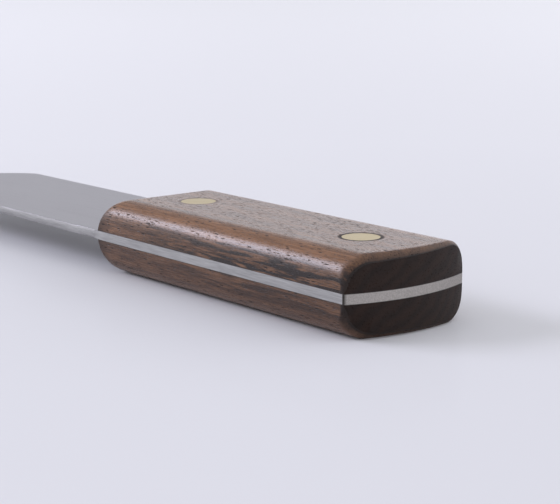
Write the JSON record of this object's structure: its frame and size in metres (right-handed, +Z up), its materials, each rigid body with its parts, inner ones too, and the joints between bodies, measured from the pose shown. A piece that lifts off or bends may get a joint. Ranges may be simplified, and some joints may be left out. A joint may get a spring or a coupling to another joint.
{
  "type": "head knife",
  "caption": "Flat full-tang leather knife with a straight-sided blade, a rounded cutting head and two pinned wooden scales.",
  "frame": {"origin": "on the lower scale's flat outer face, which rests on the table, midway between the two pins", "axes": "+X along the knife from the butt to the cutting head, +Y towards the blade's straight back, +Z up out of the upper scale"},
  "size_m": [0.2049, 0.0385, 0.0184],
  "materials": {
    "blade_steel": "satin",
    "scale_wood": "satin",
    "pin_brass": "satin",
    "glue": "satin"
  },
  "bodies": {
    "root": {"blade": "blade_steel", "upper_scale": "scale_wood", "lower_scale": "scale_wood", "upper_glue_film": "glue", "lower_glue_film": "glue", "front_pin": "pin_brass", "rear_pin": "pin_brass", "front_pin_glue": "glue", "rear_pin_glue": "glue"}
  },
  "joints": []
}
